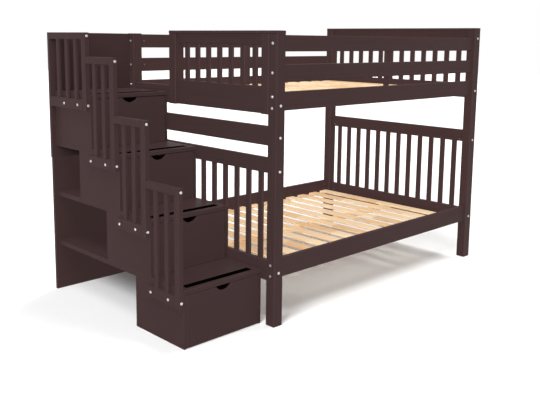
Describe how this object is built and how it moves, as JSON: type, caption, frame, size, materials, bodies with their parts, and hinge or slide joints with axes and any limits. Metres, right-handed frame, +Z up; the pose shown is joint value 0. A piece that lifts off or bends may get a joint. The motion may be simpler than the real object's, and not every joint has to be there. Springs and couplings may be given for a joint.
{
  "type": "bunk bed with stairs",
  "caption": "Painted wooden bunk bed with slatted end panels, pine slat decks and a staircase whose steps are drawers, with open shelves behind them.",
  "frame": {"origin": "on the floor, in the middle of the whole piece's footprint", "axes": "+X along the bed away from the stairs, +Y from the drawer side to the back, +Z up"},
  "size_m": [2.639, 1.418, 1.69],
  "materials": {
    "espresso_paint": "satin dark brown paint",
    "bare_pine": "sanded bare pine",
    "drawer_board": "dark brown board",
    "grip_strip": "black gritty strip",
    "zinc_steel": "bright zinc",
    "track_steel": "dull zinc"
  },
  "bodies": {
    "frame": {"bolts": "zinc_steel", "deck_cleats": "bare_pine", "drawer_bay_partitions": "espresso_paint", "drawer_bay_tracks": "track_steel", "entry_post": "espresso_paint", "entry_sill": "espresso_paint", "grip_strips": "grip_strip", "guard_boards": "espresso_paint", "guard_uprights": "espresso_paint", "lower_deck_slats": "bare_pine", "lower_panel_bottom_rails": "espresso_paint", "lower_panel_slats": "espresso_paint", "lower_panel_top_rails": "espresso_paint", "lower_post_back_left": "espresso_paint", "lower_post_back_right": "espresso_paint", "lower_post_front_left": "espresso_paint", "lower_post_front_right": "espresso_paint", "lower_side_rail_back": "espresso_paint", "lower_side_rail_front": "espresso_paint", "mid_board": "espresso_paint", "panel_caps": "espresso_paint", "post_dowels": "bare_pine", "stair_back_lower": "espresso_paint", "stair_back_upper": "espresso_paint", "stair_guard_1": "espresso_paint", "stair_guard_2": "espresso_paint", "stair_guard_3": "espresso_paint", "stair_guard_4": "espresso_paint", "stair_left_panels": "espresso_paint", "stair_right_panels": "espresso_paint", "stair_treads": "espresso_paint", "upper_deck_slats": "bare_pine", "upper_panel_bottom_rail_left": "espresso_paint", "upper_panel_bottom_rail_right": "espresso_paint", "upper_panel_slats_left": "espresso_paint", "upper_panel_slats_right": "espresso_paint", "upper_panel_top_rail_left": "espresso_paint", "upper_panel_top_rail_right": "espresso_paint", "upper_post_back_left": "espresso_paint", "upper_post_back_right": "espresso_paint", "upper_post_front_left": "espresso_paint", "upper_post_front_right": "espresso_paint", "upper_side_rail_back": "espresso_paint", "upper_side_rail_front": "espresso_paint"},
    "drawer_1": {"drawer_1_bottom": "drawer_board", "drawer_1_box": "drawer_board", "drawer_1_front": "espresso_paint", "drawer_1_tracks": "track_steel"},
    "drawer_2": {"drawer_2_bottom": "drawer_board", "drawer_2_box": "drawer_board", "drawer_2_front": "espresso_paint", "drawer_2_tracks": "track_steel"},
    "drawer_3": {"drawer_3_bottom": "drawer_board", "drawer_3_box": "drawer_board", "drawer_3_front": "espresso_paint", "drawer_3_tracks": "track_steel"},
    "drawer_4": {"drawer_4_bottom": "drawer_board", "drawer_4_box": "drawer_board", "drawer_4_front": "espresso_paint", "drawer_4_tracks": "track_steel"}
  },
  "joints": [
    {"name": "drawer_1_slide", "type": "slide", "parent": "frame", "child": "drawer_1", "axis": [0, -1, 0], "range_m": [0, 0.33]},
    {"name": "drawer_2_slide", "type": "slide", "parent": "frame", "child": "drawer_2", "axis": [0, -1, 0], "range_m": [0, 0.33]},
    {"name": "drawer_3_slide", "type": "slide", "parent": "frame", "child": "drawer_3", "axis": [0, -1, 0], "range_m": [0, 0.33]},
    {"name": "drawer_4_slide", "type": "slide", "parent": "frame", "child": "drawer_4", "axis": [0, -1, 0], "range_m": [0, 0.33]}
  ]
}
